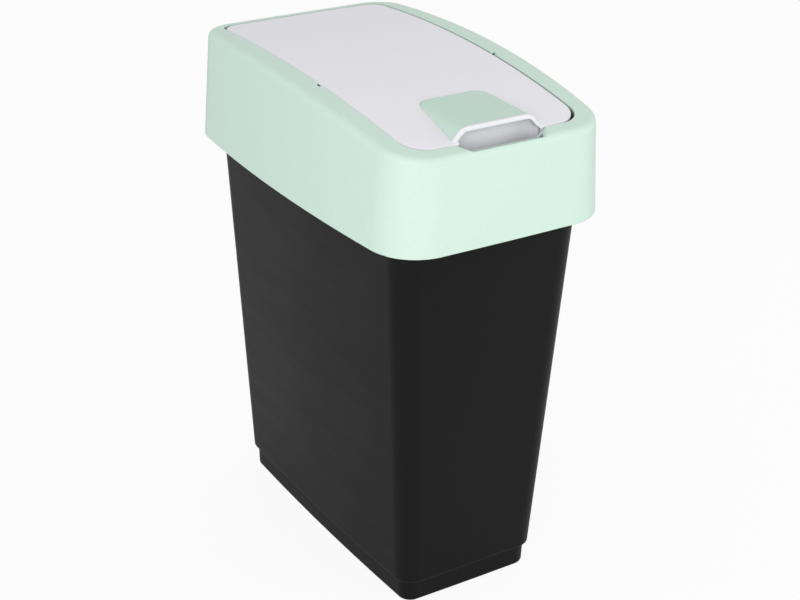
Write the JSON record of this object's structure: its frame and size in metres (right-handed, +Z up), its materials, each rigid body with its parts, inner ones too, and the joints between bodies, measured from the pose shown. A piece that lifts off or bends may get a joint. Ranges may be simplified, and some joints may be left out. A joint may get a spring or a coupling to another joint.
{
  "type": "flip-lid trash can",
  "caption": "Slim rectangular waste bin: a tapered black body on a stepped foot, a mint collar that lifts off, and a crowned white flap lid tipped up by a finger pull.",
  "frame": {"origin": "on the floor under the middle of the collar", "axes": "+Z up, -Y towards the front with the finger pull, +X to the right seen from the front"},
  "size_m": [0.179, 0.2848, 0.3601],
  "materials": {
    "bin_black": "satin, fine grain",
    "collar_mint": "satin, fine grain",
    "lid_white": "satin, fine grain",
    "plate_mint": "satin, fine grain"
  },
  "bodies": {
    "bin": {"bin_body": "bin_black"},
    "collar": {"collar": "collar_mint"},
    "lid": {"lid_panel": "lid_white", "grip_plate": "plate_mint"}
  },
  "joints": [
    {"name": "collar_lift", "type": "slide", "parent": "bin", "child": "collar", "axis": [0, 0, 1], "range_m": [0, 0.12]},
    {"name": "lid_flip", "type": "hinge", "parent": "collar", "child": "lid", "pos_m": [0, -0.0196, 0.35338], "axis": [-1, 0, 0], "range_deg": [0, 75]}
  ]
}
